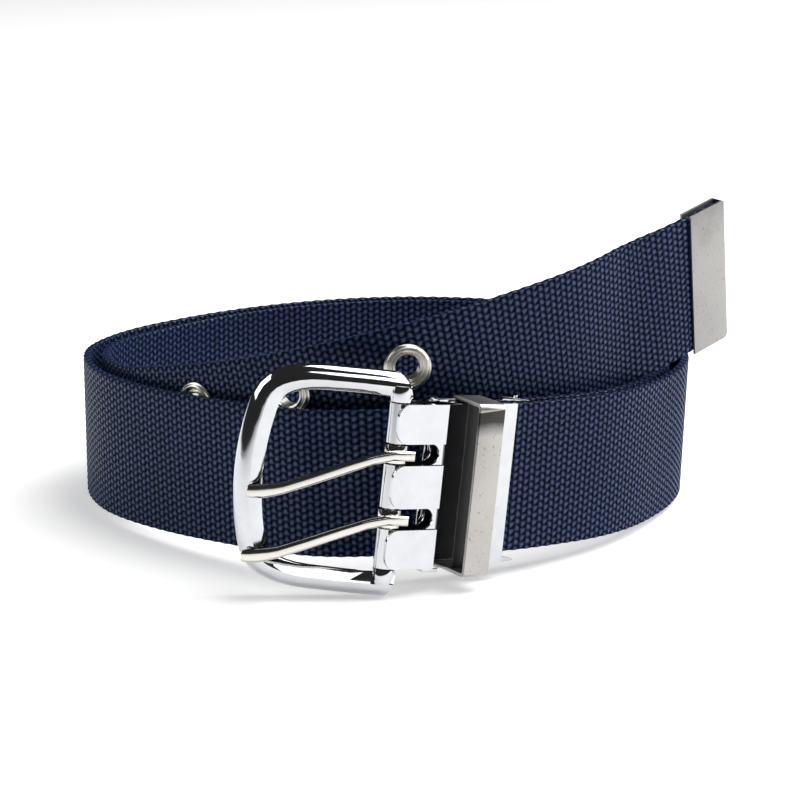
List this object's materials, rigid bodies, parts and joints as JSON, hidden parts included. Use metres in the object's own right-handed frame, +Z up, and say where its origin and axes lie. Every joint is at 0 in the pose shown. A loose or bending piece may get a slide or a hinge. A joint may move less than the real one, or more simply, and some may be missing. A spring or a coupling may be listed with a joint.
{
  "type": "canvas web belt",
  "caption": "Coiled woven web belt with rows of metal eyelets, a folded end tip, and a clamp-on frame buckle with prongs and a keeper.",
  "frame": {"origin": "centre of the bounding box at the surface that the coiled belt rests on", "axes": "+Z up along the width of the webbing, -Y the front with the buckle, +X to the right seen from the front"},
  "size_m": [0.1744, 0.1772, 0.0854],
  "materials": {
    "navy_webbing": "coarse woven navy webbing with a slight sheen",
    "chrome": "polished chrome",
    "prong_steel": "polished nickel-plated steel",
    "brushed_nickel": "fine brushed nickel with small tarnish spots on the tip",
    "eyelet_nickel": "satin nickel"
  },
  "bodies": {
    "belt": {"webbing_strap": "navy_webbing", "eyelet_upper_1": "eyelet_nickel", "eyelet_lower_1": "eyelet_nickel", "eyelet_upper_2": "eyelet_nickel", "eyelet_lower_2": "eyelet_nickel", "eyelet_upper_3": "eyelet_nickel", "eyelet_lower_3": "eyelet_nickel", "eyelet_upper_4": "eyelet_nickel", "eyelet_lower_4": "eyelet_nickel", "strap_tip": "brushed_nickel", "clamp": "chrome", "clamp_lever": "chrome", "keeper_loop": "brushed_nickel"},
    "frame": {"buckle_frame": "chrome"},
    "upper_prong": {"prong_upper": "prong_steel"},
    "lower_prong": {"prong_lower": "prong_steel"}
  },
  "joints": [
    {"name": "frame_swing", "type": "hinge", "parent": "belt", "child": "frame", "pos_m": [-0.00262, -0.08193, 0.02817], "axis": [0.101, 0.081, 0.9916], "range_deg": [-20, 75]},
    {"name": "upper_prong_swing", "type": "hinge", "parent": "frame", "child": "upper_prong", "pos_m": [-0.0018, -0.08128, 0.03621], "axis": [0.101, 0.081, 0.9916], "range_deg": [0, 55]},
    {"name": "lower_prong_swing", "type": "hinge", "parent": "frame", "child": "lower_prong", "pos_m": [-0.00344, -0.08259, 0.02014], "axis": [0.101, 0.081, 0.9916], "range_deg": [0, 55]}
  ]
}
